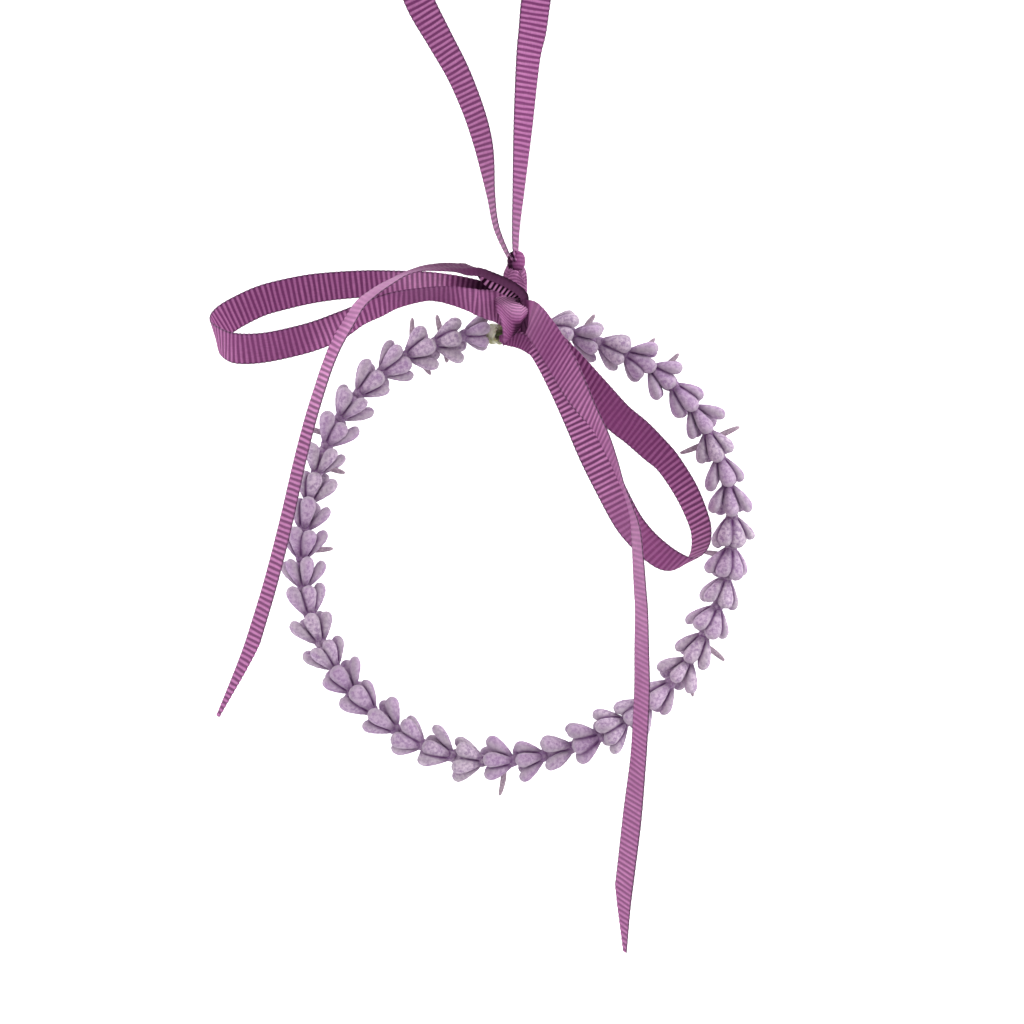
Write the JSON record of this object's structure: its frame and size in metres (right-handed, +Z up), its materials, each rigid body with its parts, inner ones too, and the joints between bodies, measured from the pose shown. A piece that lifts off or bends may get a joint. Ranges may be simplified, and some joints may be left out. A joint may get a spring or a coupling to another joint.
{
  "type": "lavender wreath",
  "caption": "Small hanging wreath of flocked lavender whorls on a wire ring, with a ribbon bow and a ribbon loop to hang it by.",
  "frame": {"origin": "inner top of the hanging ribbon's loop, where it lies over a hook or a peg", "axes": "+Z up along the line it hangs on, -Y towards the viewer on the side of the bow, +X to the right as seen from the front"},
  "size_m": [0.1083, 0.026, 0.2331],
  "materials": {
    "lavender_flock": "soft moulded plastic covered in short mauve flock, dull and velvety",
    "ribbon": "ribbed grosgrain ribbon with a slight satin sheen and narrow woven edges",
    "wire": "thin green coated wire, dull",
    "stem": "pale yellow-green moulded stem, slightly translucent"
  },
  "bodies": {
    "root": {"ring_wire": "wire", "whorl_01": "lavender_flock", "whorl_02": "lavender_flock", "whorl_03": "lavender_flock", "whorl_04": "lavender_flock", "whorl_05": "lavender_flock", "whorl_06": "lavender_flock", "whorl_07": "lavender_flock", "whorl_08": "lavender_flock", "whorl_09": "lavender_flock", "whorl_10": "lavender_flock", "whorl_11": "lavender_flock", "whorl_12": "lavender_flock", "whorl_13": "lavender_flock", "whorl_14": "lavender_flock", "whorl_15": "lavender_flock", "whorl_16": "lavender_flock", "whorl_17": "lavender_flock", "whorl_18": "lavender_flock", "whorl_19": "lavender_flock", "whorl_20": "lavender_flock", "whorl_21": "lavender_flock", "whorl_22": "lavender_flock", "whorl_23": "lavender_flock", "whorl_24": "lavender_flock", "whorl_25": "lavender_flock", "whorl_26": "lavender_flock", "whorl_27": "lavender_flock", "whorl_28": "lavender_flock", "whorl_29": "lavender_flock", "whorl_30": "lavender_flock", "whorl_31": "lavender_flock", "whorl_32": "lavender_flock", "whorl_33": "lavender_flock", "whorl_34": "lavender_flock", "whorl_35": "lavender_flock", "whorl_36": "lavender_flock", "whorl_37": "lavender_flock", "whorl_38": "lavender_flock", "whorl_39": "lavender_flock", "whorl_40": "lavender_flock", "whorl_41": "lavender_flock", "whorl_42": "lavender_flock", "whorl_43": "lavender_flock", "whorl_44": "lavender_flock", "stem_end": "stem", "hanging_ribbon": "ribbon", "bow_ribbon": "ribbon"}
  },
  "joints": []
}
